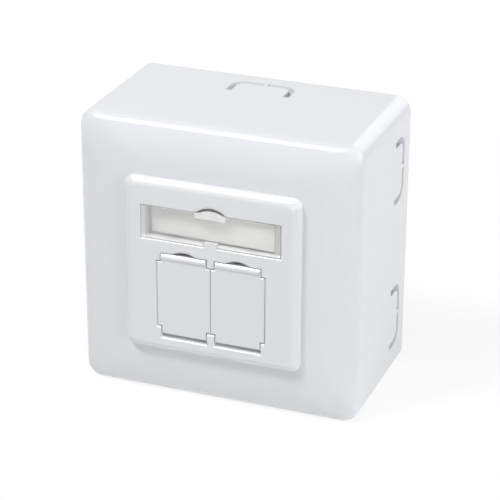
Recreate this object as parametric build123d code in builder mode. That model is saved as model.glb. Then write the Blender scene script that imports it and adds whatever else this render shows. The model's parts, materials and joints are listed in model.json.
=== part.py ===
from build123d import *
from math import atan, cos, degrees, pi, sin
import os

# Surface-mount network outlet with two RJ45 ports, built as it comes apart on a bench.
# Millimetres. X runs to the right and Z up. The wall is the plane Y = 0 and the room is towards -Y,
# so every "depth" below is a distance in front of the wall.

os.makedirs("parts", exist_ok=True)

# Hood: the deep one-piece cover
hood_margin = 10.0
hood_front = 44.3
hood_wall = 2.2
hood_corner_r = 4.1
crest_r = 3.45
crown_width = 9.9
crown_drop = 1.9
crown_corner_growth = 0.6
crest_steps = 6
crown_steps = 5

# Knock-outs in the hood's sides, each a groove round a flush panel
knockout_width = 18.6
knockout_back = 4.5
knockout_reach = 8.2
knockout_corner_r = 4.2
groove_width = 1.8
groove_depth = 1.2
groove_slope = 45.0
bridge_width = 1.3
side_knockout_offset = 22.0

# Base plate, which is screwed to the wall inside the hood
slip = 0.2
base_thick = 2.0
base_rim_height = 1.5
base_rim_wall = 1.4
fixing_spacing = 60.0
wall_slot_width = 4.2
wall_slot_length = 8.5
entry_width = 34.0
entry_height = 18.0
entry_centre_z = 14.0
entry_corner_r = 4.0
post_r = 4.0
post_draft = 1.0
gusset_reach = 4.5
gusset_height = 14.0
gusset_thick = 1.4
latch_x = 22.0
latch_width = 8.0
latch_thick = 1.4
latch_catch_depth = 6.2
latch_bite = 0.9
ledge_width = 10.0
ledge_height = 0.8
ledge_thick = 1.4

# Carrier frame, the steel strap that holds the module
carrier_edge_gap = 2.3
carrier_thick = 1.2
carrier_setback = 8.0
carrier_corner_r = 6.0
carrier_slot_length = 7.0
carrier_lip_width = 46.0
carrier_lip_height = 2.6
carrier_window_width = 18.0
carrier_window_height = 4.0
carrier_window_inset = 5.5
module_gap = 0.3

# Module: die-cast housing and rear lid
module_width = 41.0
module_height = 40.0
module_corner_r = 2.0
module_setback = 3.3
module_wall = 1.5
module_split = 10.5
lid_depth = 5.0
lid_wall = 1.2
ear_reach = 2.8
ear_z = 13.0
ear_width = 6.0
ear_thick = 4.0
lid_screw_inset = 3.5
lid_boss_r = 2.6
lid_boss_depth = 8.0
cable_x = 9.0
cable_hole_r = 3.8
clamp_r = 3.4
clamp_thick = 1.2
clamp_width = 5.0
clamp_foot = 5.8
shelf_reach = 7.5
shelf_margin = 1.1
shelf_thick = 2.5

# Circuit board and the insulation-displacement blocks on its back
board_front = 21.4
board_thick = 1.6
board_gap = 0.2
board_notch = 6.2
board_ledge = 1.4
board_ledge_length = 18.0
idc_middle_gap = 5.2
idc_side_gap = 2.8
idc_end_gap = 7.5
idc_base = 2.5
idc_height = 8.0
tower_width = 4.0
idc_end_margin = 3.8
idc_rows = 4
wire_slot = 0.9
wire_slot_depth = 4.4
blade_width = 2.8
blade_thick = 0.5
blade_fork = 0.4
blade_gap = 0.12
blade_sink = 0.8

# RJ45 jacks
jack_pitch = 15.5
jack_z = -7.8
jack_spacing = 0.9
jack_floor = 1.85
jack_proud = 1.1
port_width = 11.9
port_height = 6.85
port_roof = 1.6
port_depth = 14.0
latch_step_width = 6.4
latch_step_drop = 1.6
latch_key_width = 3.6
latch_key_drop = 1.1
contact_count = 8
contact_pitch = 1.016
contact_wire = 0.4
contact_slot = 0.62
contact_tip_setback = 0.6
contact_reach = 9.5
contact_end_drop = 2.2
contact_bend_r = 0.4
slot_above_port = 1.05
slot_setback = 1.6
shield_thick = 0.3
shield_gap = 0.05
shield_setback = 1.0

# Centre plate
plate_side = 50.0
plate_rise = 2.6
plate_overlap = 2.5
plate_corner_r = 2.4
plate_edge = 1.0
bevel_in = 2.2
plate_wall = 1.6
skirt_wall = 1.2
skirt_gap = 0.3
edge_break = 0.18

# Label window and its pocket
window_margin = 5.05
window_height = 9.7
window_drop = 7.3
window_gap = 0.2
window_lower_gap = 0.15
window_sheet = 0.8
pocket_depth = 2.7
pocket_floor = 1.2
pocket_wall = 1.8
window_notch_width = 8.1
window_notch_rise = 1.45
key_block_width = 3.7
key_block_height = 1.1
foot_thick = 0.6
foot_inset = 1.1
foot_gap = 0.15
grip_width = 8.6
grip_height = 1.25
grip_rise = 0.85
grip_proud = 0.35
tongue_inset = 8.15
tongue_width = 3.6
tongue_drop = 0.7
tongue_thick = 0.65
tongue_root = 0.75
tongue_gap = 0.2
label_side_gap = 2.15
label_top_gap = 0.6
label_thick = 0.25
label_shift_x = 0.1
label_bottom_gap = 0.3
label_lean = 1.4
label_front_gap = 0.15

# Doors
door_gap = 0.07
door_side_gap = 0.12
door_thick = 2.0
door_drop = 3.85
door_foot = 5.45
door_top_step = 2.4
door_bottom_step = 2.3
door_neck_inner = 1.25
door_neck_inset = 1.15
door_neck_gap = 0.15
door_top_gap = 0.12
door_tail_inner = 1.35
door_tail_inset = 1.25
door_tail_gap = 0.25
door_step_gap = 0.7
door_slit = 1.3
opening_bevel = 0.3
swing_gap = 0.09
sill_rise = 0.75
sill_back_gap = 0.1
sill_thick = 1.4
door_bead_height = 1.5
door_bead_proud = 0.4
door_recess = 0.9
door_rim = 1.4
hinge_setback = 1.2
hinge_rise = 0.8
pin_r = 0.7
pin_clearance = 0.05
pin_outer_length = 1.7
pin_end_gap = 0.15
hinge_boss_length = 3.0
hinge_boss_drop = 1.7
hinge_boss_depth = 3.5
nail_notch_width = 6.8
nail_notch_rise = 0.7
scoop_spread = 0.6
scoop_slope = 45.0
stop_width = 2.0
stop_reach = 0.8
stop_gap = 0.12
stop_thick = 0.9

# Screws: head radius, head height, shank radius
screw_m3 = (2.8, 1.7, 1.5)
screw_m25 = (2.3, 1.5, 1.25)
thread_gap = 0.05
through_gap = 0.15
plate_screw_length = 9.0
carrier_screw_length = 10.0
frame_screw_length = 5.0
lid_screw_length = 10.5
clamp_screw_length = 4.0
head_gap = 0.25

# Places that follow from the sizes above
hood_side = fixing_spacing + 2 * hood_margin
hood_half = hood_side / 2
cavity_half = hood_half - hood_wall
base_half = cavity_half - slip
plate_front = hood_front + plate_rise
plate_half = plate_side / 2
hood_opening = plate_side - 2 * plate_overlap
module_front = hood_front - module_setback
carrier_side = 2 * (cavity_half - carrier_edge_gap)
carrier_back = module_front - carrier_setback
carrier_front = carrier_back + carrier_thick
carrier_window_z = carrier_side / 2 - carrier_window_inset
post_x = fixing_spacing / 2
ear_x = module_width / 2 + ear_reach
lid_screw_x = module_width / 2 - lid_screw_inset
lid_screw_z = module_height / 2 - lid_screw_inset
board_back = board_front - board_thick
idc_width = module_width / 2 - module_wall - idc_side_gap - idc_middle_gap / 2
idc_x = (idc_middle_gap + idc_width) / 2
idc_length = module_height - 2 * idc_end_gap
idc_pitch = (idc_length - 2 * idc_end_margin) / (idc_rows - 1)
jack_width = jack_pitch - jack_spacing
jack_height = port_roof + port_height + latch_step_drop + latch_key_drop + jack_floor
port_top = jack_height / 2 - port_roof
jack_front = module_front + jack_proud
contact_tip_depth = jack_front - contact_tip_setback
contact_end_depth = contact_tip_depth - contact_reach
slot_front = contact_tip_depth - slot_setback
shield_back = board_front + shield_setback
skirt_back = module_front + skirt_gap
lid_back = module_split - lid_depth
shelf_back = module_split + clamp_r
clamp_z = module_height / 2 + shelf_reach - clamp_width / 2 - 1
clamp_screw_far = cable_x + clamp_r + clamp_thick + clamp_foot / 2
clamp_screw_x = (-clamp_screw_far, 0, clamp_screw_far)
shelf_half = clamp_screw_far + clamp_foot / 2 + shelf_margin
window_width = plate_side - 2 * window_margin
window_top = plate_half - window_drop
window_bottom = window_top - window_height
window_z = (window_top + window_bottom) / 2
window_back = plate_front - window_sheet
foot_x = window_width / 2 - foot_inset
tongue_x = window_width / 2 - tongue_inset
label_width = window_width - 2 * label_side_gap
label_height = window_height - key_block_height - label_bottom_gap - label_top_gap
pocket_bed = plate_front - pocket_depth
seat_depth = pocket_bed - head_gap - screw_m3[1]
door_width = jack_pitch - 2 * door_gap
door_opening_x = door_gap + door_width + door_side_gap
door_neck_outer = door_gap + door_width - door_neck_inset
door_tail_outer = door_gap + door_width - door_tail_inset
door_neck_top = window_bottom - door_drop
door_tail_bottom = door_foot - plate_half
door_top_step_z = door_neck_top - door_top_step
door_bottom_step_z = door_tail_bottom + door_bottom_step
door_opening_bottom = door_tail_bottom - door_slit
tab_top = door_bottom_step_z - door_step_gap
hinge_depth = plate_front - hinge_setback
hinge_z = door_tail_bottom + hinge_rise
swing_r = door_bottom_step_z - hinge_z - swing_gap
contact_z = jack_z + port_top + slot_above_port / 2
cover_inner_half = plate_half - plate_wall
skirt_half = hood_opening / 2 - slip


def at(depth):
    """The plane that faces the room at this depth."""
    return Plane.XZ.offset(depth)


def block(x_span, z_span, depths, mode=Mode.ADD):
    """A box between two sides, a bottom and a top, and a back and a front depth."""
    with BuildSketch(at(depths[0])) as outline:
        with Locations((sum(x_span) / 2, sum(z_span) / 2)):
            Rectangle(x_span[1] - x_span[0], z_span[1] - z_span[0])
    extrude(outline.sketch, amount=depths[1] - depths[0], mode=mode)


def rod(x, z, radius, depths, mode=Mode.ADD):
    """A round bar or hole that runs straight out from the wall."""
    with BuildSketch(at(depths[0])) as outline:
        with Locations((x, z)):
            Circle(radius)
    extrude(outline.sketch, amount=depths[1] - depths[0], mode=mode)


def cross_rod(x_span, z, depth, radius, mode=Mode.ADD):
    """A round bar or hole that runs along X."""
    with BuildSketch(Plane.YZ.offset(x_span[0])) as outline:
        with Locations((-depth, z)):
            Circle(radius)
    extrude(outline.sketch, amount=x_span[1] - x_span[0], mode=mode)


def bow(width, rise, z_base, x=0.0):
    """A flat segment of a circle that stands on a straight base, added to the open sketch."""
    with BuildLine() as edge:
        ThreePointArc((x - width / 2, z_base), (x, z_base + rise), (x + width / 2, z_base))
        Line((x + width / 2, z_base), (x - width / 2, z_base))
    return make_face(edge.edges())


def write(builder, name):
    """Labels a finished piece and writes it to its own file."""
    builder.part.label = name
    export_step(builder.part, f"parts/{name}.step")


def mirrored(make, name):
    """Writes a right-hand piece and its mirror image as a left and right pair."""
    right = make()
    write(right, f"{name}_right")
    with BuildPart() as left:
        mirror(right.part, about=Plane.YZ)
    write(left, f"{name}_left")


def screw(size, length):
    """A pan-head screw with a cross recess: its head's seat is at the origin and its shank runs down -Z."""
    head_r, head_h, shank_r = size
    with BuildPart() as made:
        Cylinder(head_r, head_h, align=(Align.CENTER, Align.CENTER, Align.MIN))
        chamfer(made.edges().sort_by(Axis.Z)[-1], head_h * 0.3)
        with BuildSketch(Plane.XY):
            Circle(shank_r)
        extrude(amount=-length)
        with BuildSketch(Plane.XY.offset(head_h)):
            Rectangle(head_r * 1.1, head_r * 0.26)
            Rectangle(head_r * 0.26, head_r * 1.1)
        extrude(amount=-head_h * 0.6, mode=Mode.SUBTRACT)
    return made.part


def hood_sections():
    """Inset and depth of the hood's rounded crest, then of its shallow crown up to the flat front."""
    turn = pi / 2 - atan(2 * crown_drop / crown_width)
    crest_start = hood_front - crown_drop - crest_r * sin(turn)
    angles = [turn * k / crest_steps for k in range(crest_steps + 1)]
    crest = [(crest_r * (1 - cos(angle)), crest_start + crest_r * sin(angle)) for angle in angles]
    shares = [(k + 1) / crown_steps for k in range(crown_steps)]
    crown = [(crest[-1][0] + crown_width * share, hood_front - crown_drop * (1 - share) ** 2) for share in shares]
    return crest + crown


def hood_form(shrink):
    """The hood's solid outer form, or the form that is shrink smaller all round."""
    sections = hood_sections()
    corner = max(hood_corner_r - shrink, hood_corner_r / 4)
    with BuildPart() as form:
        with BuildSketch(Plane.XZ):
            RectangleRounded(hood_side - 2 * shrink, hood_side - 2 * shrink, corner)
        extrude(amount=sections[0][1] - shrink)
        for inset, depth in sections:
            side = hood_side - 2 * (inset + shrink)
            with BuildSketch(at(depth - shrink)):
                RectangleRounded(side, side, corner + crown_corner_growth * inset)
        loft(ruled=True)
    return form.part


def knockout_groove():
    """The groove round one knock-out panel, cut in the top side: sloped outside, upright at the panel."""
    centre_y = -(knockout_back + knockout_reach)
    inner_side = knockout_width - 2 * groove_width
    with BuildPart() as groove:
        with BuildSketch(Plane.XY.offset(hood_half)):
            with Locations((0, centre_y)):
                RectangleRounded(knockout_width, 2 * knockout_reach, knockout_corner_r)
        extrude(amount=-groove_depth, taper=groove_slope)
        with BuildSketch(Plane.XY.offset(hood_half)):
            with Locations((0, centre_y)):
                RectangleRounded(inner_side, 2 * (knockout_reach - groove_width), knockout_corner_r - groove_width)
            with Locations((0, centre_y - hood_side / 2)):
                Rectangle(2 * knockout_width, hood_side)
            Rectangle(bridge_width, hood_side)
        extrude(amount=-2 * groove_depth, mode=Mode.SUBTRACT)
    return groove.part


def make_hood():
    """The deep cover: a crowned shell, open at the wall, with knock-outs in all four sides."""
    cutter = knockout_groove()
    with BuildPart() as hood:
        add(hood_form(0))
        add(hood_form(hood_wall), mode=Mode.SUBTRACT)
        with BuildSketch(at(hood_front - 2 * hood_wall)):
            RectangleRounded(hood_opening, hood_opening, plate_corner_r)
        extrude(amount=3 * hood_wall, mode=Mode.SUBTRACT)
        for turn, shift in ((0, 0), (180, 0), (90, 1), (90, -1), (270, 1), (270, -1)):
            placed = Pos(shift * side_knockout_offset, 0, 0) * cutter
            add(placed.rotate(Axis.Y, turn), mode=Mode.SUBTRACT)
        ledge_depths = (latch_catch_depth - slip - ledge_thick, latch_catch_depth - slip)
        for x in (-latch_x, latch_x):
            for z in (-cavity_half, cavity_half - ledge_height):
                block((x - ledge_width / 2, x + ledge_width / 2), (z, z + ledge_height), ledge_depths)
    return hood


def make_base_plate():
    """The wall plate: rim, cable entry, wall-fixing slots, two tall posts with gussets and four latches."""
    with BuildPart() as base:
        with BuildSketch(Plane.XZ):
            RectangleRounded(2 * base_half, 2 * base_half, hood_corner_r - hood_wall)
        extrude(amount=base_thick + base_rim_height)
        with BuildSketch(at(base_thick)):
            inside = 2 * (base_half - base_rim_wall)
            RectangleRounded(inside, inside, (hood_corner_r - hood_wall) / 2)
        extrude(amount=base_rim_height, mode=Mode.SUBTRACT)
        with BuildSketch(at(base_thick)):
            with Locations((-post_x, 0), (post_x, 0)):
                Circle(post_r + post_draft)
        extrude(amount=carrier_back - base_thick, taper=degrees(atan(post_draft / carrier_back)))
        for x in (-post_x, post_x):
            reach = post_r + gusset_reach
            with BuildSketch(Plane.YZ.offset(x - gusset_thick / 2)):
                Polygon(
                    (-base_thick, -reach), (-base_thick, reach), (-base_thick - gusset_height, 0), align=None
                )
            extrude(amount=gusset_thick)
        with BuildSketch(Plane.XZ):
            with Locations((0, entry_centre_z)):
                RectangleRounded(entry_width, entry_height, entry_corner_r)
            with Locations((0, -post_x), (0, post_x)):
                SlotOverall(wall_slot_length, wall_slot_width, rotation=90)
        extrude(amount=2 * base_thick, mode=Mode.SUBTRACT)
        for x in (-post_x, post_x):
            thread_end = carrier_front - carrier_screw_length - 1
            rod(x, 0, screw_m3[2] + thread_gap, (thread_end, carrier_back), Mode.SUBTRACT)
        catch_end = latch_catch_depth + latch_bite
        outer = base_half - base_rim_wall / 2
        for x in (-latch_x, latch_x):
            for side in (-1, 1):
                with BuildSketch(Plane.YZ.offset(x - latch_width / 2)):
                    Polygon(
                        (-base_thick, side * (outer - latch_thick)),
                        (-base_thick, side * outer),
                        (-latch_catch_depth, side * outer),
                        (-latch_catch_depth, side * (cavity_half - slip)),
                        (-catch_end - latch_thick, side * (outer - latch_thick)),
                        align=None,
                    )
                extrude(amount=latch_width)
    return base


def make_carrier_frame():
    """The steel strap: module opening, fixing slots, spare fixing windows and stiffening lips."""
    with BuildPart() as carrier:
        with BuildSketch(at(carrier_back)):
            RectangleRounded(carrier_side, carrier_side, carrier_corner_r)
            Rectangle(module_width + 2 * module_gap, module_height + 2 * module_gap, mode=Mode.SUBTRACT)
            with Locations((-post_x, 0), (post_x, 0)):
                SlotOverall(carrier_slot_length, 2 * (screw_m3[2] + through_gap), rotation=90, mode=Mode.SUBTRACT)
            with Locations((0, -carrier_window_z), (0, carrier_window_z)):
                SlotOverall(carrier_window_width, carrier_window_height, mode=Mode.SUBTRACT)
            with GridLocations(2 * ear_x, 2 * ear_z, 2, 2):
                Circle(screw_m25[2] + through_gap, mode=Mode.SUBTRACT)
            with GridLocations(2 * ear_x, 2 * carrier_window_z, 2, 2):
                Circle(screw_m3[2] + through_gap, mode=Mode.SUBTRACT)
        extrude(amount=carrier_thick)
        for z in (-carrier_side / 2, carrier_side / 2 - carrier_thick):
            lip_z = (z, z + carrier_thick)
            lip_depths = (carrier_back - carrier_lip_height, carrier_back)
            block((-carrier_lip_width / 2, carrier_lip_width / 2), lip_z, lip_depths)
    return carrier


def module_tray(back, front, wall, closed_front):
    """A rounded tray of the module's outline, closed on one side."""
    with BuildPart() as tray:
        with BuildSketch(at(back)):
            RectangleRounded(module_width, module_height, module_corner_r)
        extrude(amount=front - back)
        hollow_start = back if closed_front else back + wall
        with BuildSketch(at(hollow_start)):
            RectangleRounded(module_width - 2 * wall, module_height - 2 * wall, module_corner_r / 2)
        extrude(amount=front - back - wall, mode=Mode.SUBTRACT)
    return tray.part


def cable_holes():
    """The two round cable holes, half in the housing and half in its lid."""
    with BuildPart() as holes:
        with BuildSketch(Plane.XY.offset(module_height / 2 - 2 * module_wall)):
            with Locations((-cable_x, -module_split), (cable_x, -module_split)):
                Circle(cable_hole_r)
        extrude(amount=3 * module_wall)
    return holes.part


def make_module_housing():
    """The die-cast housing: jack window, screw boss, ears for the strap, board ledges and a clamp shelf."""
    jack_half_x = jack_pitch / 2 + jack_width / 2 + shield_gap + shield_thick + shield_gap * 2
    jack_half_z = jack_height / 2 + shield_gap + shield_thick + shield_gap * 2
    inner_x = module_width / 2 - module_wall
    boss_r = screw_m3[2] + 1.7
    boss_back = seat_depth - plate_screw_length - 1
    with BuildPart() as housing:
        add(module_tray(module_split, module_front, module_wall, True))
        rod(0, window_z, boss_r, (boss_back, module_front - module_wall))
        for x in (-lid_screw_x, lid_screw_x):
            for z in (-lid_screw_z, lid_screw_z):
                rod(x, z, lid_boss_r, (module_split, module_split + lid_boss_depth))
        for side in (-1, 1):
            ledge_x = sorted((side * inner_x, side * (inner_x - board_ledge)))
            ledge_z = (-board_ledge_length / 2, board_ledge_length / 2)
            block(ledge_x, ledge_z, (board_front, board_front + 2 * board_ledge))
            for z in (-ear_z, ear_z):
                ear_span = sorted((side * inner_x, side * (ear_x + ear_width / 2)))
                ear_rise = (z - ear_width / 2, z + ear_width / 2)
                block(ear_span, ear_rise, (carrier_back - ear_thick, carrier_back))
        shelf_z = (module_height / 2 - module_wall, module_height / 2 + shelf_reach)
        block((-shelf_half, shelf_half), shelf_z, (shelf_back, shelf_back + shelf_thick))
        block((-jack_half_x, jack_half_x), (jack_z - jack_half_z, jack_z + jack_half_z),
              (module_front - 2 * module_wall, module_front + 1), Mode.SUBTRACT)
        add(cable_holes(), mode=Mode.SUBTRACT)
        rod(0, window_z, screw_m3[2] + thread_gap, (boss_back, module_front + 1), Mode.SUBTRACT)
        for x in (-lid_screw_x, lid_screw_x):
            for z in (-lid_screw_z, lid_screw_z):
                hole_end = module_split + lid_boss_depth - 1
                rod(x, z, screw_m25[2] + thread_gap, (module_split, hole_end), Mode.SUBTRACT)
        for x in (-ear_x, ear_x):
            for z in (-ear_z, ear_z):
                rod(x, z, screw_m25[2] + thread_gap, (carrier_back - ear_thick, carrier_back), Mode.SUBTRACT)
        for x in clamp_screw_x:
            rod(x, clamp_z, screw_m25[2] + thread_gap, (shelf_back, shelf_back + shelf_thick), Mode.SUBTRACT)
    return housing


def make_module_lid():
    """The module's rear lid: a shallow tray with corner tubes for its screws and half-round cable mouths."""
    with BuildPart() as lid:
        add(module_tray(lid_back, module_split, lid_wall, False))
        for x in (-lid_screw_x, lid_screw_x):
            for z in (-lid_screw_z, lid_screw_z):
                rod(x, z, lid_boss_r, (lid_back + lid_wall / 2, module_split))
                rod(x, z, screw_m25[2] + through_gap, (lid_back - 1, module_split), Mode.SUBTRACT)
        add(cable_holes(), mode=Mode.SUBTRACT)
    return lid


def make_cable_clamp():
    """One pressed saddle with an arch over each cable and three screwed feet."""
    outer_r = clamp_r + clamp_thick
    half_span = cable_x + outer_r + clamp_foot
    with BuildPart() as clamp:
        with BuildSketch(Plane.XY.offset(clamp_z - clamp_width / 2)):
            with Locations((0, -shelf_back + clamp_thick / 2)):
                Rectangle(2 * half_span, clamp_thick)
            for x in (-cable_x, cable_x):
                with Locations((x, -module_split)):
                    Circle(outer_r)
                with Locations((x, -(module_split + shelf_back) / 2)):
                    Rectangle(2 * outer_r, shelf_back - module_split)
                with Locations((x, -(module_split + shelf_back + 1) / 2)):
                    Rectangle(2 * clamp_r, shelf_back - module_split + 1, mode=Mode.SUBTRACT)
                with Locations((x, -module_split)):
                    Circle(clamp_r, mode=Mode.SUBTRACT)
            with Locations((0, -shelf_back - clamp_r)):
                Rectangle(3 * half_span, 2 * clamp_r, mode=Mode.SUBTRACT)
        extrude(amount=clamp_width)
        for x in clamp_screw_x:
            rod(x, clamp_z, screw_m25[2] + through_gap, (module_split, shelf_back + 1), Mode.SUBTRACT)
    return clamp


def make_circuit_board():
    """The board between the jacks and the connection blocks, notched clear of the lid's screw bosses."""
    width = module_width - 2 * module_wall - 2 * board_gap
    height = module_height - 2 * module_wall - 2 * board_gap
    with BuildPart() as board:
        with BuildSketch(at(board_back)):
            Rectangle(width, height)
            with GridLocations(width, height, 2, 2):
                Rectangle(2 * board_notch, 2 * board_notch, mode=Mode.SUBTRACT)
        extrude(amount=board_thick)
    return board


def idc_places():
    """Where the contact blades stand in a block: two towers, each with a row of wire slots."""
    tower_x = (idc_width - tower_width) / 2
    first = -idc_pitch * (idc_rows - 1) / 2
    return [(side * tower_x, first + idc_pitch * row) for side in (-1, 1) for row in range(idc_rows)]


def make_idc_block():
    """One connection block: two castellated towers with a wire slot and a blade pocket at each place."""
    tip = board_back - idc_height
    with BuildPart() as idc:
        block((idc_x - idc_width / 2, idc_x + idc_width / 2), (-idc_length / 2, idc_length / 2),
              (board_back - idc_base, board_back))
        for side in (-1, 1):
            centre = idc_x + side * (idc_width - tower_width) / 2
            with BuildSketch(Plane.XY.offset(-idc_length / 2)):
                Polygon(
                    (centre - tower_width / 2, -board_back + idc_base / 2),
                    (centre + tower_width / 2, -board_back + idc_base / 2),
                    (centre + tower_width / 2, -tip - tower_width / 3),
                    (centre, -tip),
                    (centre - tower_width / 2, -tip - tower_width / 3),
                    align=None,
                )
            extrude(amount=idc_length)
        for x, z in idc_places():
            slot_x = (idc_x + x - tower_width, idc_x + x + tower_width)
            block(slot_x, (z - wire_slot / 2, z + wire_slot / 2), (tip - 1, tip + wire_slot_depth), Mode.SUBTRACT)
            pocket_x = blade_thick / 2 + blade_gap
            pocket_z = blade_width / 2 + blade_gap
            block((idc_x + x - pocket_x, idc_x + x + pocket_x), (z - pocket_z, z + pocket_z),
                  (tip - 1, board_back - blade_sink + blade_gap), Mode.SUBTRACT)
    return idc


def make_idc_contacts():
    """The eight forked blades of one block, each its own solid."""
    tip = board_back - idc_height + blade_sink
    with BuildPart() as blades:
        for x, z in idc_places():
            blade_x = (idc_x + x - blade_thick / 2, idc_x + x + blade_thick / 2)
            block(blade_x, (z - blade_width / 2, z + blade_width / 2), (tip, board_back - blade_sink))
            with BuildSketch(Plane.YZ.offset(blade_x[0] - 1)):
                with Locations((-tip, z)):
                    Rectangle(2 * wire_slot_depth, blade_fork)
                    Rectangle(blade_width / 2, blade_width / 2, rotation=45)
            extrude(amount=blade_thick + 2, mode=Mode.SUBTRACT)
    return blades


def port_outline(grow):
    """The stepped RJ45 opening in the open sketch, latch side down, grown by a margin all round."""
    top = jack_z + port_top
    steps = (
        (port_width, port_height),
        (latch_step_width, port_height + latch_step_drop),
        (latch_key_width, port_height + latch_step_drop + latch_key_drop),
    )
    for width, drop in steps:
        with Locations((jack_pitch / 2, top - drop / 2)):
            Rectangle(width + 2 * grow, drop + 2 * grow)


def contact_places():
    """The X of each of the eight contacts in the right-hand jack."""
    first = jack_pitch / 2 - contact_pitch * (contact_count - 1) / 2
    return [first + contact_pitch * k for k in range(contact_count)]


def make_jack_body():
    """The moulded jack: a stepped port with a comb of contact slots in its roof."""
    half_width = jack_width / 2
    roof = jack_z + port_top
    with BuildPart() as body:
        block((jack_pitch / 2 - half_width, jack_pitch / 2 + half_width),
              (jack_z - jack_height / 2, jack_z + jack_height / 2), (board_front, jack_front))
        chamfer(body.faces().sort_by(Axis.Y)[0].edges(), edge_break)
        with BuildSketch(at(jack_front - port_depth)):
            port_outline(0)
        extrude(amount=port_depth + 1, mode=Mode.SUBTRACT)
        chamfer(body.faces().sort_by(Axis.Y)[0].inner_wires()[0].edges(), edge_break)
        for x in contact_places():
            block((x - contact_slot / 2, x + contact_slot / 2), (roof - contact_slot, roof + slot_above_port),
                  (board_front - 1, slot_front), Mode.SUBTRACT)
    return body


def make_jack_contacts():
    """Eight gold spring wires: each runs forward in its slot, turns and slopes back down into the port."""
    path_start = (-board_front, contact_z)
    path_turn = (-contact_tip_depth, contact_z)
    path_end = (-contact_end_depth, jack_z + port_top - contact_end_drop)
    with BuildPart() as wires:
        for x in contact_places():
            with BuildLine(Plane.YZ.offset(x)):
                FilletPolyline(path_start, path_turn, path_end, radius=contact_bend_r)
            with BuildSketch(at(board_front)):
                with Locations((x, contact_z)):
                    Rectangle(contact_wire, contact_wire)
            sweep()
    return wires


def make_jack_shield():
    """The folded metal shell round one jack, with the port cut in its face and two latch windows."""
    half_x = jack_width / 2 + shield_gap
    half_z = jack_height / 2 + shield_gap
    centre_x = jack_pitch / 2
    with BuildPart() as shield:
        outer_x = (centre_x - half_x - shield_thick, centre_x + half_x + shield_thick)
        outer_z = (jack_z - half_z - shield_thick, jack_z + half_z + shield_thick)
        block(outer_x, outer_z, (shield_back, jack_front + shield_thick))
        fillet(shield.edges().filter_by(Axis.Y), shield_thick)
        block((centre_x - half_x, centre_x + half_x), (jack_z - half_z, jack_z + half_z),
              (shield_back - 1, jack_front), Mode.SUBTRACT)
        with BuildSketch(at(jack_front - shield_thick)):
            port_outline(shield_thick / 2)
        extrude(amount=3 * shield_thick, mode=Mode.SUBTRACT)
        middle = (shield_back + jack_front) / 2
        block((outer_x[0] - 1, outer_x[1] + 1), (jack_z - 1.5, jack_z + 1.5), (middle - 2, middle + 2),
              Mode.SUBTRACT)
    return shield


def plate_shell():
    """The centre plate's raised rim, convex bevel and hollow back, with its locating skirt."""
    flat = plate_front - hood_front - plate_edge
    bevel = [(0, plate_edge), (0.18, 0.36), (0.55, 0.74), (1, 1)]
    with BuildPart() as shell:
        with BuildSketch(at(hood_front)):
            RectangleRounded(plate_side, plate_side, plate_corner_r)
        extrude(amount=plate_edge)
        for share_in, share_up in [(0, 0)] + bevel[1:]:
            inset = bevel_in * share_in
            with BuildSketch(at(hood_front + plate_edge + flat * share_up)):
                side = plate_side - 2 * inset
                RectangleRounded(side, side, plate_corner_r - inset * 0.4)
        loft(ruled=True)
        with BuildSketch(at(hood_front)):
            RectangleRounded(2 * cover_inner_half, 2 * cover_inner_half, plate_corner_r / 2)
        extrude(amount=plate_front - plate_wall - hood_front, mode=Mode.SUBTRACT)
        with BuildSketch(at(skirt_back)):
            RectangleRounded(2 * skirt_half, 2 * skirt_half, plate_corner_r - slip)
            inner = 2 * (skirt_half - skirt_wall)
            RectangleRounded(inner, inner, (plate_corner_r - slip) / 2, mode=Mode.SUBTRACT)
        extrude(amount=plate_front - plate_wall - skirt_back)
    return shell.part


def front_opening(builder, place):
    """The edges of one opening in a piece's front face, where place 0 is the lowest opening."""
    front = builder.faces().sort_by(Axis.Y)[0]
    return front.inner_wires().sort_by(Axis.Z)[place].edges()


def door_opening():
    """The cut through the plate for both doors: one wide field with a stepped neck and tail at each door."""
    deep = plate_front - hood_front + 1
    with BuildPart() as opening:
        through = (plate_front - deep, plate_front + 1)
        block((-door_opening_x, door_opening_x), (tab_top, door_top_step_z + slip), through)
        for side in (-1, 1):
            neck = sorted((side * (door_neck_inner - door_neck_gap), side * (door_neck_outer + door_neck_gap)))
            tail = sorted((side * (door_tail_inner - door_tail_gap), side * (door_tail_outer + door_tail_gap)))
            block(neck, (door_top_step_z, door_neck_top + door_top_gap), through)
            block(tail, (door_opening_bottom, tab_top + 1), through)
    return opening.part


def finger_notch(width, rise, z_base, x):
    """Cuts a round notch down to the pocket's bed, with a rim that slopes out to the front face."""
    with BuildSketch(at(pocket_bed)) as notch:
        bow(width, rise, z_base, x)
    extrude(notch.sketch, amount=pocket_depth, mode=Mode.SUBTRACT)
    with BuildSketch(at(plate_front)) as rim:
        bow(width + 2 * scoop_spread, rise + scoop_spread, z_base, x)
        with Locations((x, z_base - scoop_spread)):
            Rectangle(width + 2 * scoop_spread, 2 * scoop_spread)
    extrude(rim.sketch, amount=-scoop_spread, taper=scoop_slope, mode=Mode.SUBTRACT)


def hinge_knuckle(x_span):
    """Rounds a hinge tab about the pin's axis, so that the door's step swings close over it."""
    with BuildSketch(Plane.YZ.offset(x_span[0])) as knuckle:
        with Locations((-hinge_depth, hinge_z)):
            Circle(swing_r)
        with Locations((-plate_front - swing_r, hinge_z)):
            Rectangle(2 * swing_r, 3 * swing_r, mode=Mode.SUBTRACT)
    extrude(knuckle.sketch, amount=x_span[1] - x_span[0])


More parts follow.
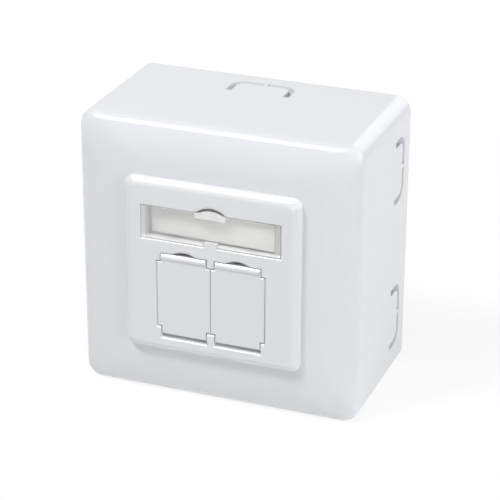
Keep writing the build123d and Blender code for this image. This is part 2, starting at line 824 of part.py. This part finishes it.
def door_sill(half_width):
    """The sloping lower wall of the slit under the doors, with an upstand that closes it behind."""
    slope_start = plate_front - opening_bevel
    slope_end = plate_front - door_thick - sill_back_gap
    top = door_opening_bottom + sill_rise
    with BuildSketch(Plane.YZ.offset(-half_width)) as sill:
        Polygon(
            (-slope_start, door_opening_bottom),
            (-slope_end, top),
            (sill_thick - slope_end, top),
            (sill_thick - slope_end, door_opening_bottom - sill_thick),
            (-slope_start, door_opening_bottom - sill_thick),
            align=None,
        )
    extrude(sill.sketch, amount=2 * half_width)


def make_centre_plate():
    """The square front plate: label pocket, screw seat, door opening, hinge bosses and door stops."""
    pocket_back = pocket_bed - pocket_floor
    boss_r = screw_m3[0] + through_gap + 1.4
    key_top = window_bottom + key_block_height
    with BuildPart() as plate:
        add(plate_shell())
        block((-skirt_half + skirt_wall / 2, skirt_half - skirt_wall / 2),
              (window_bottom - pocket_wall, window_top + pocket_floor), (pocket_back, plate_front - plate_wall / 2))
        rod(0, window_z, boss_r, (module_front + thread_gap, pocket_bed))
        add(door_opening(), mode=Mode.SUBTRACT)
        block((-window_width / 2, window_width / 2), (window_bottom, window_top), (pocket_bed, plate_front + 1),
              Mode.SUBTRACT)
        chamfer(front_opening(plate, 0), opening_bevel)
        chamfer(front_opening(plate, 1), edge_break)
        finger_notch(window_notch_width, window_notch_rise, window_top, 0)
        for x in (-jack_pitch / 2, jack_pitch / 2):
            finger_notch(nail_notch_width, nail_notch_rise, door_neck_top + door_top_gap, x)
        block((-key_block_width / 2, key_block_width / 2), (window_bottom - 0.5, key_top),
              (pocket_bed - 0.1, plate_front))
        for x in (-tongue_x, tongue_x):
            tongue_back = window_back - tongue_thick - slip
            slot_x = (x - tongue_width / 2 - slip, x + tongue_width / 2 + slip)
            block(slot_x, (window_bottom - tongue_drop - window_lower_gap, window_bottom + 0.1),
                  (tongue_back - 1, window_back + tongue_gap), Mode.SUBTRACT)
        rod(0, window_z, screw_m3[0] + through_gap, (seat_depth, pocket_bed + 0.5), Mode.SUBTRACT)
        rod(0, window_z, screw_m3[2] + through_gap, (module_front - 1, seat_depth), Mode.SUBTRACT)
        tail_in = door_tail_inner - door_tail_gap
        tail_out = door_tail_outer + door_tail_gap
        boss_z = (hinge_z - hinge_boss_drop, tab_top)
        boss_depths = (plate_front - hinge_boss_depth, plate_front - plate_wall / 2)
        block((-tail_in, tail_in), boss_z, boss_depths)
        hinge_knuckle((-tail_in, tail_in))
        door_sill(tail_out)
        hole_r = pin_r + pin_clearance
        cross_rod((-tail_in, tail_in), hinge_z, hinge_depth, hole_r, Mode.SUBTRACT)
        for side in (-1, 1):
            boss_x = sorted((side * tail_out, side * (tail_out + hinge_boss_length)))
            block(boss_x, boss_z, boss_depths)
            hinge_knuckle(boss_x)
            hole_x = sorted((side * tail_out, side * (door_tail_outer + pin_outer_length + pin_end_gap)))
            cross_rod(hole_x, hinge_z, hinge_depth, hole_r, Mode.SUBTRACT)
            for stop_x in (door_neck_inner + stop_width / 4, door_neck_outer - stop_width * 1.25):
                span = sorted((side * stop_x, side * (stop_x + stop_width)))
                stop_front = plate_front - door_thick - stop_gap
                over = door_neck_top + door_top_gap
                root = window_bottom - pocket_wall
                block(span, (door_neck_top - stop_reach, root), (stop_front - stop_thick, stop_front))
                block(span, (over, root), (stop_front - stop_thick, plate_front - plate_wall / 2))
    return plate


def make_label_window():
    """The clear label cover: sheet with a rounded lower edge, finger grip, end feet and two hinge tongues."""
    sheet_half = window_width / 2 - window_gap
    sheet_bottom = window_bottom + window_lower_gap
    sheet_top = window_top - window_gap
    notch_half = key_block_width / 2 + window_gap
    notch_top = window_bottom + key_block_height + window_gap
    with BuildPart() as window:
        block((-sheet_half, sheet_half), (sheet_bottom, sheet_top), (window_back, plate_front))
        fillet(window.edges().filter_by(Axis.X).group_by(Axis.Z)[0], window_sheet * 0.49)
        block((-notch_half, notch_half), (sheet_bottom - 1, notch_top), (window_back - 1, plate_front + 1),
              Mode.SUBTRACT)
        with BuildSketch(at(window_back)):
            with Locations((0, sheet_top - grip_height / 2)):
                Rectangle(grip_width, grip_height)
            bow(window_notch_width - grip_height, grip_rise, sheet_top)
        extrude(amount=window_sheet + grip_proud)
        tongue_front = window_back + tongue_gap / 4
        for side in (-1, 1):
            foot = sorted((side * (foot_x - foot_thick / 2), side * (foot_x + foot_thick / 2)))
            block(foot, (sheet_bottom + window_sheet / 2, sheet_top - window_sheet / 2),
                  (pocket_bed + foot_gap, window_back))
            tongue = (side * tongue_x - tongue_width / 2, side * tongue_x + tongue_width / 2)
            block(tongue, (sheet_bottom - tongue_drop, sheet_bottom + tongue_root),
                  (tongue_front - tongue_thick, tongue_front))
    return window


def make_label_strip():
    """The paper label, which leans a little: its left end on the bed and its right end behind the window."""
    left = label_shift_x - label_width / 2
    right = label_shift_x + label_width / 2
    near = window_back - label_front_gap
    bottom = window_bottom + key_block_height + label_bottom_gap
    with BuildPart() as label:
        with BuildSketch(Plane.XY.offset(bottom)):
            Polygon(
                (left, label_thick + label_lean - near),
                (left, label_lean - near),
                (right, -near),
                (right, label_thick - near),
                align=None,
            )
        extrude(amount=label_height)
    return label


def make_door():
    """One dust door: stepped leaf, finger bead, recessed back and the hinge pin moulded across its tail."""
    back = plate_front - door_thick
    wide = (door_gap, door_gap + door_width)
    neck = (door_neck_inner, door_neck_outer)
    with BuildPart() as door:
        block(wide, (door_bottom_step_z, door_top_step_z), (back, plate_front))
        block(neck, (door_bottom_step_z, door_neck_top), (back, plate_front))
        block((door_tail_inner, door_tail_outer), (door_tail_bottom, door_top_step_z), (back, plate_front))
        chamfer(door.faces().sort_by(Axis.Y)[0].edges(), edge_break)
        with BuildSketch(Plane(origin=(neck[0] + edge_break, 0, 0), x_dir=(0, 0, 1), z_dir=(1, 0, 0))):
            bow(door_bead_height, door_bead_proud, plate_front, door_neck_top - edge_break - door_bead_height / 2)
        extrude(amount=neck[1] - neck[0] - 2 * edge_break)
        block((wide[0] + door_rim, wide[1] - door_rim), (door_bottom_step_z + door_rim, door_top_step_z - door_rim),
              (back - 1, back + door_recess), Mode.SUBTRACT)
        cross_rod((pin_end_gap, door_tail_outer + pin_outer_length), hinge_z, hinge_depth, pin_r)
    return door


def screws(size, length, seat, places, to_room=True):
    """A group of identical screws, each its own solid, with the heads towards the room or towards the wall."""
    facing = (0, -1, 0) if to_room else (0, 1, 0)
    one = screw(size, length)
    with BuildPart() as group:
        for x, z in places:
            add(Plane(origin=(x, -seat, z), x_dir=(1, 0, 0), z_dir=facing) * one)
    return group


def corners(x, z):
    """Four places, one in each quarter."""
    return [(sx * x, sz * z) for sx in (-1, 1) for sz in (-1, 1)]


write(make_hood(), "hood")
write(make_base_plate(), "base_plate")
write(make_carrier_frame(), "carrier_frame")
write(make_module_housing(), "module_housing")
write(make_module_lid(), "module_lid")
write(make_cable_clamp(), "cable_clamp")
write(make_circuit_board(), "circuit_board")
mirrored(make_idc_block, "idc_block")
mirrored(make_idc_contacts, "idc_contacts")
mirrored(make_jack_body, "jack_body")
mirrored(make_jack_contacts, "jack_contacts")
mirrored(make_jack_shield, "jack_shield")
write(make_centre_plate(), "centre_plate")
write(make_label_window(), "label_window")
write(make_label_strip(), "label_strip")
mirrored(make_door, "door")
write(screws(screw_m3, plate_screw_length, seat_depth, [(0, window_z)]), "plate_screw")
write(screws(screw_m3, carrier_screw_length, carrier_front, [(-post_x, 0), (post_x, 0)]), "carrier_screws")
write(screws(screw_m25, frame_screw_length, carrier_front, corners(ear_x, ear_z)), "frame_screws")
write(screws(screw_m25, lid_screw_length, lid_back, corners(lid_screw_x, lid_screw_z), False), "lid_screws")
clamp_places = [(x, clamp_z) for x in clamp_screw_x]
write(screws(screw_m25, clamp_screw_length, shelf_back - clamp_thick, clamp_places, False), "clamp_screws")
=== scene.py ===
import json
import math

import bpy
import numpy as np
from mathutils import Matrix, Vector


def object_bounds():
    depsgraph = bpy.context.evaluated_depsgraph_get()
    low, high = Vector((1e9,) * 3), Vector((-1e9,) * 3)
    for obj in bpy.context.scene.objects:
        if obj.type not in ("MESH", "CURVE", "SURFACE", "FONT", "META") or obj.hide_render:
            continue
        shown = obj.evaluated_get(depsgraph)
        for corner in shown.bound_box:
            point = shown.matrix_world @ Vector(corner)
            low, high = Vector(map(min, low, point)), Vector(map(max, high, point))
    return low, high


# Looks, lights and camera for the wall outlet. Metres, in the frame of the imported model:
# X to the right, Y into the wall, Z up.

MM = 0.001

# Where the hood's break-out grooves lie and get painted shade: just below its sides down to their floor,
# between their ends, and from near the wall forward
SKIN = 39.96 * MM
GROOVE_FLOOR = 38.5 * MM
GROOVE_ENDS = 32 * MM
GROOVE_BACK = -4.3 * MM
GROOVE_FRONT = -12.9 * MM

# Where the label window turns milky: below its lip's top as painted highlight, past the start of its ends
# as painted light, and on its grip
LIP_TOP = 9.15 * MM
END_START = 18.35 * MM
GRIP_FOOT = 16.3 * MM
GRIP_HALF = 4.31 * MM

# Camera as fitted on the photograph: angles in degrees, the focal length in pixels of its width
CAMERA_ANGLES = (20.952, 24.367, 0.238)
CAMERA_DISTANCE = 562.762 * MM
CAMERA_SHIFT = (-0.948 * MM, 3.409 * MM)
CAMERA_CENTRE = (0, -20 * MM, 0)
FOCAL_PIXELS = 2030.74
PHOTO_PIXELS = 500
SENSOR_WIDTH = 36

LAMP_TARGET = (0, -20 * MM, 0)
WHITE = (1, 1, 1)
COOL = (0.97, 0.985, 1.0)

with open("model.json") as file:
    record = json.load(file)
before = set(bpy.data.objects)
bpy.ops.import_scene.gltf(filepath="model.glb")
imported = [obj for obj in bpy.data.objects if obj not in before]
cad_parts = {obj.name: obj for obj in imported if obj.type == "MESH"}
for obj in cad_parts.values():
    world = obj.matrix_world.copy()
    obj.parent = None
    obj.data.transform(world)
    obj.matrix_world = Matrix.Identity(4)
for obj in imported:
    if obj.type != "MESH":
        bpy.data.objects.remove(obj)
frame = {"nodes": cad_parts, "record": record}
nodes = frame["nodes"]
cad_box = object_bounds()


# Shading normals

def corner_angles(points):
    """The inner angle at each corner of each triangle."""
    angles = np.empty(points.shape[:2])
    for k in range(3):
        a = points[:, (k + 1) % 3] - points[:, k]
        b = points[:, (k + 2) % 3] - points[:, k]
        length = np.linalg.norm(a, axis=1) * np.linalg.norm(b, axis=1) + 1e-20
        angles[:, k] = np.arccos(np.clip((a * b).sum(1) / length, -1, 1))
    return angles


def smooth_normals(obj, limit=34.0):
    """Shades across facets that meet at less than the limit in degrees, with wide flat faces kept flat."""
    mesh = obj.data
    vertices = np.empty(len(mesh.vertices) * 3)
    mesh.vertices.foreach_get("co", vertices)
    corners = np.empty(len(mesh.loops), int)
    mesh.loops.foreach_get("vertex_index", corners)
    points = vertices.reshape(-1, 3)[corners].reshape(-1, 3, 3)
    cross = np.cross(points[:, 1] - points[:, 0], points[:, 2] - points[:, 0])
    double = np.linalg.norm(cross, axis=1)
    normals = cross / np.maximum(double, 1e-20)[:, None]
    offset = (normals * points[:, 0]).sum(1)
    plane = np.column_stack((np.round(normals * 400), np.round(offset * 2e4)))
    region = np.unique(plane, axis=0, return_inverse=True)[1].ravel()
    area = np.bincount(region, double / 2)[region]
    weight = (corner_angles(points) * area[:, None]).ravel()
    face = np.repeat(np.arange(len(normals)), 3)
    place = np.unique(np.round(points.reshape(-1, 3) * 1e6), axis=0, return_inverse=True)[1].ravel()
    order = np.argsort(place, kind="stable")
    starts = np.flatnonzero(np.r_[True, np.diff(place[order]) > 0, True])
    result = normals[face]
    closest = math.cos(math.radians(limit))
    for first, last in zip(starts[:-1], starts[1:]):
        group = order[first:last]
        here = normals[face[group]]
        near = (here @ here.T) > closest
        total = near @ (here * weight[group][:, None])
        result[group] = total / np.maximum(np.linalg.norm(total, axis=1), 1e-20)[:, None]
    mesh.shade_smooth()
    mesh.normals_split_custom_set(result.tolist())


for node in nodes.values():
    smooth_normals(node)


# Materials

class Shader:
    """A new material with its principled shader, and short calls for its nodes."""

    def __init__(self, name, **values):
        self.material = bpy.data.materials.new(name)
        self.material.use_nodes = True
        self.tree = self.material.node_tree
        self.shader = self.tree.nodes["Principled BSDF"]
        for key, value in values.items():
            self.shader.inputs[key.replace("_", " ")].default_value = value

    def add(self, kind, inputs=(), **settings):
        """A new node, its inputs given as values or as sockets to link."""
        node = self.tree.nodes.new(kind)
        for key, value in settings.items():
            setattr(node, key, value)
        for key, value in dict(inputs).items():
            if isinstance(value, bpy.types.NodeSocket):
                self.tree.links.new(value, node.inputs[key])
            else:
                node.inputs[key].default_value = value
        return node

    def link(self, socket, key):
        """Links a socket to an input of the principled shader."""
        self.tree.links.new(socket, self.shader.inputs[key])

    def coordinates(self, scale=(1, 1, 1)):
        """The object's own coordinates, stretched by a scale."""
        where = self.add("ShaderNodeTexCoord")
        return self.add("ShaderNodeMapping", {"Vector": where.outputs["Object"], "Scale": scale}).outputs[0]

    def math(self, operation, first, second=0.0):
        return self.add("ShaderNodeMath", {0: first, 1: second}, operation=operation).outputs[0]

    def place(self, output="Object"):
        """The X, Y and Z of the object's own coordinates or of its surface direction."""
        where = self.add("ShaderNodeTexCoord")
        return self.add("ShaderNodeSeparateXYZ", {"Vector": where.outputs[output]}).outputs

    def noise(self, scale, detail=2.0, roughness=0.5, stretch=(1, 1, 1)):
        """A cloudy pattern, from 0 to 1."""
        inputs = {"Vector": self.coordinates(stretch), "Scale": scale}
        inputs.update({"Detail": detail, "Roughness": roughness})
        return self.add("ShaderNodeTexNoise", inputs).outputs["Fac"]

    def span(self, value, low, high, start=0.3, end=0.7):
        """Spreads a value from start to end over low to high."""
        inputs = {"Value": value, "From Min": start, "From Max": end, "To Min": low, "To Max": high}
        return self.add("ShaderNodeMapRange", inputs).outputs["Result"]

    def tint(self, value, dark, light):
        """A colour between two: the numbers are the mix node's sockets for colours."""
        factor, first, second, result = 0, 6, 7, 2
        inputs = {factor: value, first: dark + (1,), second: light + (1,)}
        return self.add("ShaderNodeMix", inputs, data_type="RGBA").outputs[result]

    def relief(self, height, distance, strength=1.0, edge=0.0):
        """A fine bump from a pattern, over edges softened by the edge's radius."""
        inputs = {"Height": height, "Distance": distance, "Strength": strength}
        if edge:
            inputs["Normal"] = self.add("ShaderNodeBevel", {"Radius": edge}, samples=6).outputs[0]
        self.link(self.add("ShaderNodeBump", inputs).outputs["Normal"], "Normal")


def gloss_plastic(name, tone, roughness=0.27, edge=0.15 * MM):
    """Moulded gloss plastic: an even tone and softened edges."""
    made = Shader(name, IOR=1.5, Base_Color=tone + (1,), Roughness=roughness)
    made.link(made.add("ShaderNodeBevel", {"Radius": edge}, samples=6).outputs[0], "Normal")
    return made


def hood_plastic(tone, roughness=0.22, groove_roughness=0.9, painted_shade_share=0.79):
    """The hood's plastic, with painted shade in the grooves round its break-out panels: a little darker
    there, and duller.
    """
    made = gloss_plastic("hood_plastic", tone, roughness)
    place = made.place()
    across = made.math("ABSOLUTE", place["X"])
    up = made.math("ABSOLUTE", place["Z"])
    outer = made.math("MAXIMUM", across, up)
    limits = (
        made.math("LESS_THAN", outer, SKIN),
        made.math("GREATER_THAN", outer, GROOVE_FLOOR),
        made.math("LESS_THAN", made.math("MINIMUM", across, up), GROOVE_ENDS),
        made.math("LESS_THAN", place["Y"], GROOVE_BACK),
        made.math("GREATER_THAN", place["Y"], GROOVE_FRONT),
    )
    groove = limits[0]
    for limit in limits[1:]:
        groove = made.math("MULTIPLY", groove, limit)
    # Painted shade: the grooves' colour is darkened to a share of the tone
    made.link(made.tint(groove, tone, tuple(c * painted_shade_share for c in tone)), "Base Color")
    made.link(made.span(groove, roughness, groove_roughness, 0, 1), "Roughness")
    return made


def grained_plastic(name, tone, roughness=0.5, edge=0.12 * MM):
    """Plain moulded plastic with a fine matt grain."""
    made = Shader(name, IOR=1.5)
    speck = made.noise(900, 3)
    made.link(made.tint(made.span(speck, 0, 1), tuple(c * 0.94 for c in tone), tone), "Base Color")
    made.link(made.span(made.noise(300, 3), roughness - 0.06, roughness + 0.08), "Roughness")
    made.relief(made.noise(3600, 3), 0.02 * MM, 0.6, edge)
    return made


def metal(name, dark, light, roughness, grain=(1, 1, 1), scale=700, depth=0.012, edge=0.1 * MM):
    """Metal with a cloudy or drawn surface: the grain stretches the pattern."""
    made = Shader(name, Metallic=1.0)
    cloud = made.noise(scale, 5, 0.65, grain)
    made.link(made.tint(made.span(cloud, 0, 1), dark, light), "Base Color")
    wear = made.noise(scale * 0.6, 3, 0.5, grain)
    made.link(made.span(wear, roughness - 0.07, roughness + 0.1), "Roughness")
    made.relief(cloud, depth * MM, 0.5, edge)
    return made


def board_laminate():
    """Green solder mask over glass weave, with faint copper runs."""
    made = Shader("board_laminate", IOR=1.5, Roughness=0.3)
    bands = made.add("ShaderNodeTexWave", {"Vector": made.coordinates(), "Scale": 260, "Distortion": 1.5})
    runs = made.span(bands.outputs["Fac"], 0, 1, 0.45, 0.55)
    made.link(made.tint(runs, (0.012, 0.085, 0.030), (0.018, 0.130, 0.045)), "Base Color")
    made.relief(bands.outputs["Fac"], 0.02 * MM, 0.4, 0.08 * MM)
    return made


def label_paper():
    """Uncoated paper with fibres."""
    made = Shader("label_paper", Roughness=0.75)
    fibre = made.noise(1500, 5, 0.7, (1, 1, 0.35))
    made.link(made.tint(made.span(fibre, 0, 1), (0.865, 0.862, 0.835), (0.895, 0.892, 0.865)), "Base Color")
    made.relief(fibre, 0.015 * MM, 0.5)
    return made


def clear_window():
    """Clear moulded plastic: nearly unseen on its faces; milky edges and lower lip are painted highlights,
    milky ends painted light, and a milky grip.
    """
    made = Shader("window_clear", IOR=1.49, Base_Color=(0.95, 0.95, 0.94, 1), Roughness=0.08)
    place = made.place()
    across = made.math("ABSOLUTE", place["X"])
    # Painted highlight: faces turned away from the front turn milky, for the light on clear edges
    edges = made.span(made.math("ABSOLUTE", made.place("Normal")["Y"]), 0.6, 0.06, 0.35, 0.97)
    # Painted highlight: the lower lip turns milky to stand for the light on its rounded edge
    lip = made.math("MULTIPLY", made.math("LESS_THAN", place["Z"], LIP_TOP), 0.85)
    # Painted light: the ends turn half milky to lighten the shaded pocket ends behind them
    ends = made.math("MULTIPLY", made.math("GREATER_THAN", across, END_START), 0.5)
    middle = made.math("LESS_THAN", across, GRIP_HALF)
    high = made.math("GREATER_THAN", place["Z"], GRIP_FOOT)
    grip = made.math("MULTIPLY", made.math("MULTIPLY", middle, high), 0.72)
    painted_highlights = made.math("MAXIMUM", edges, lip)
    painted_light_and_grip = made.math("MAXIMUM", ends, grip)
    made.link(made.math("MAXIMUM", painted_highlights, painted_light_and_grip), "Alpha")
    return made


MATERIALS = {
    "hood_plastic": hood_plastic((0.788, 0.797, 0.816)),
    "plate_plastic": gloss_plastic("plate_plastic", (0.795, 0.801, 0.815), 0.25, 0.12 * MM),
    "door_plastic": gloss_plastic("door_plastic", (0.785, 0.791, 0.806), 0.25, 0.12 * MM),
    "window_clear": clear_window(),
    "label_paper": label_paper(),
    "base_plastic": grained_plastic("base_plastic", (0.76, 0.762, 0.765)),
    "zinc_casting": metal("zinc_casting", (0.42, 0.425, 0.43), (0.56, 0.565, 0.57), 0.42, depth=0.03),
    "strap_steel": metal("strap_steel", (0.55, 0.55, 0.54), (0.68, 0.68, 0.67), 0.3, (1, 1, 0.06)),
    "screw_steel": metal("screw_steel", (0.55, 0.55, 0.52), (0.70, 0.70, 0.67), 0.25, scale=1500),
    "clamp_steel": metal("clamp_steel", (0.50, 0.50, 0.49), (0.64, 0.64, 0.63), 0.3, (0.06, 1, 1)),
    "board_laminate": board_laminate(),
    "jack_plastic": grained_plastic("jack_plastic", (0.022, 0.022, 0.024), 0.42, 0.08 * MM),
    "shield_steel": metal(
        "shield_steel", (0.60, 0.60, 0.59), (0.74, 0.74, 0.73), 0.22, (1, 0.08, 1), 1200, edge=0.06 * MM
    ),
    "contact_gold": metal(
        "contact_gold", (0.80, 0.54, 0.20), (0.92, 0.68, 0.30), 0.16, scale=3000, depth=0.003, edge=0.04 * MM
    ),
    "block_plastic": grained_plastic("block_plastic", (0.70, 0.70, 0.66), 0.45, 0.08 * MM),
    "blade_metal": metal(
        "blade_metal", (0.62, 0.62, 0.60), (0.78, 0.78, 0.76), 0.2, scale=2500, depth=0.004, edge=0.04 * MM
    ),
}

for entry in frame["record"]["subparts"]:
    mesh = nodes[entry["node"]].data
    mesh.materials.clear()
    mesh.materials.append(MATERIALS[entry["material_slot"]].material)


# Stage

def seen_share(tree):
    """1 for rays that show the background: those of the camera, of reflections and through clear pieces."""
    path = tree.nodes.new("ShaderNodeLightPath")
    total = path.outputs["Is Camera Ray"]
    for key in ("Is Glossy Ray", "Is Transmission Ray"):
        joined = tree.nodes.new("ShaderNodeMath")
        joined.operation = "MAXIMUM"
        tree.links.new(total, joined.inputs[0])
        tree.links.new(path.outputs[key], joined.inputs[1])
        total = joined.outputs[0]
    return total


def make_floor(level, half=3.0, grey=0.82, glow_share=0.8):
    """A wide pale floor that looks white and keeps a light shadow under the object."""
    mesh = bpy.data.meshes.new("floor")
    corners = [(x * half, y * half, level) for x, y in ((-1, -1), (1, -1), (1, 1), (-1, 1))]
    mesh.from_pydata(corners, [], [(0, 1, 2, 3)])
    floor = bpy.data.objects.new("floor", mesh)
    bpy.context.scene.collection.objects.link(floor)
    material = bpy.data.materials.new("floor")
    material.use_nodes = True
    tree = material.node_tree
    tree.nodes.remove(tree.nodes["Principled BSDF"])
    pale = tree.nodes.new("ShaderNodeBsdfDiffuse")
    pale.inputs["Color"].default_value = (grey, grey, grey, 1)
    white = tree.nodes.new("ShaderNodeEmission")
    shown = tree.nodes.new("ShaderNodeMixShader")
    shown.inputs[0].default_value = glow_share
    tree.links.new(pale.outputs[0], shown.inputs[1])
    tree.links.new(white.outputs[0], shown.inputs[2])
    spot = tree.nodes.new("ShaderNodeTexCoord")
    distance = tree.nodes.new("ShaderNodeVectorMath")
    distance.operation = "LENGTH"
    tree.links.new(spot.outputs["Object"], distance.inputs[0])
    glow = tree.nodes.new("ShaderNodeMapRange")
    for name, value in (("From Min", 0.12), ("From Max", 0.42), ("To Min", 1.07), ("To Max", 1.26)):
        glow.inputs[name].default_value = value
    tree.links.new(distance.outputs["Value"], glow.inputs["Value"])
    tree.links.new(glow.outputs["Result"], white.inputs["Strength"])
    final = tree.nodes.new("ShaderNodeMixShader")
    tree.links.new(seen_share(tree), final.inputs[0])
    tree.links.new(pale.outputs[0], final.inputs[1])
    tree.links.new(shown.outputs[0], final.inputs[2])
    tree.links.new(final.outputs[0], tree.nodes["Material Output"].inputs["Surface"])
    mesh.materials.append(material)


def make_world(strength):
    """Plain white surroundings: white to look at, softer as a light."""
    world = bpy.data.worlds.new("studio")
    bpy.context.scene.world = world
    world.use_nodes = True
    tree = world.node_tree
    light = tree.nodes["Background"]
    light.inputs["Color"].default_value = (0.985, 0.99, 1.0, 1)
    light.inputs["Strength"].default_value = strength
    seen = tree.nodes.new("ShaderNodeBackground")
    seen.inputs["Color"].default_value = (1, 1, 1, 1)
    mix = tree.nodes.new("ShaderNodeMixShader")
    tree.links.new(seen_share(tree), mix.inputs[0])
    tree.links.new(light.outputs[0], mix.inputs[1])
    tree.links.new(seen.outputs[0], mix.inputs[2])
    tree.links.new(mix.outputs[0], tree.nodes["World Output"].inputs["Surface"])


def make_lamp(name, place, size, power, colour):
    """A soft rectangular lamp, aimed at the outlet."""
    data = bpy.data.lights.new(name, "AREA")
    data.shape = "RECTANGLE"
    data.size, data.size_y = size
    data.energy = power
    data.color = colour
    lamp = bpy.data.objects.new(name, data)
    lamp.location = place
    lamp.rotation_euler = (Vector(LAMP_TARGET) - Vector(place)).to_track_quat("-Z", "Y").to_euler()
    bpy.context.scene.collection.objects.link(lamp)


def make_camera():
    """The photograph's camera, fitted on the object's outline."""
    azimuth, elevation, roll = (math.radians(angle) for angle in CAMERA_ANGLES)
    level = Vector((math.cos(azimuth), math.sin(azimuth), 0))
    away = Vector((math.sin(azimuth), -math.cos(azimuth), 0))
    back = math.cos(elevation) * away + Vector((0, 0, math.sin(elevation)))
    rise = back.cross(level)
    right = math.cos(roll) * level + math.sin(roll) * rise
    up = -math.sin(roll) * level + math.cos(roll) * rise
    data = bpy.data.cameras.new("camera")
    data.sensor_fit = "HORIZONTAL"
    data.sensor_width = SENSOR_WIDTH
    data.lens = FOCAL_PIXELS * SENSOR_WIDTH / PHOTO_PIXELS
    data.clip_start = 0.01
    camera = bpy.data.objects.new("camera", data)
    place = Vector(CAMERA_CENTRE) + CAMERA_DISTANCE * back - CAMERA_SHIFT[0] * right - CAMERA_SHIFT[1] * up
    camera.matrix_world = Matrix((
        (right.x, up.x, back.x, place.x),
        (right.y, up.y, back.y, place.y),
        (right.z, up.z, back.z, place.z),
        (0, 0, 0, 1),
    ))
    bpy.context.scene.collection.objects.link(camera)
    bpy.context.scene.camera = camera


make_floor(cad_box[0].z - 0.05 * MM)
make_world(0.085)
make_lamp("key", (-0.33, -0.43, 0.85), (0.26, 0.26), 6.2, WHITE)
make_lamp("top_soft", (0.10, -0.30, 1.0), (1.0, 0.8), 2.1, COOL)
make_lamp("fill_front", (0.15, -1.10, 0.25), (1.1, 0.9), 1.25, WHITE)
make_lamp("side_right", (1.10, -0.25, 0.30), (0.8, 0.9), 7.9, COOL)
make_lamp("back_fill", (0.25, 1.20, 0.50), (1.0, 0.8), 3.0, WHITE)
make_camera()

scene = bpy.context.scene
scene.view_settings.view_transform = "Standard"
scene.cycles.use_denoising = True
scene.cycles.max_bounces = 10
scene.cycles.transmission_bounces = 8
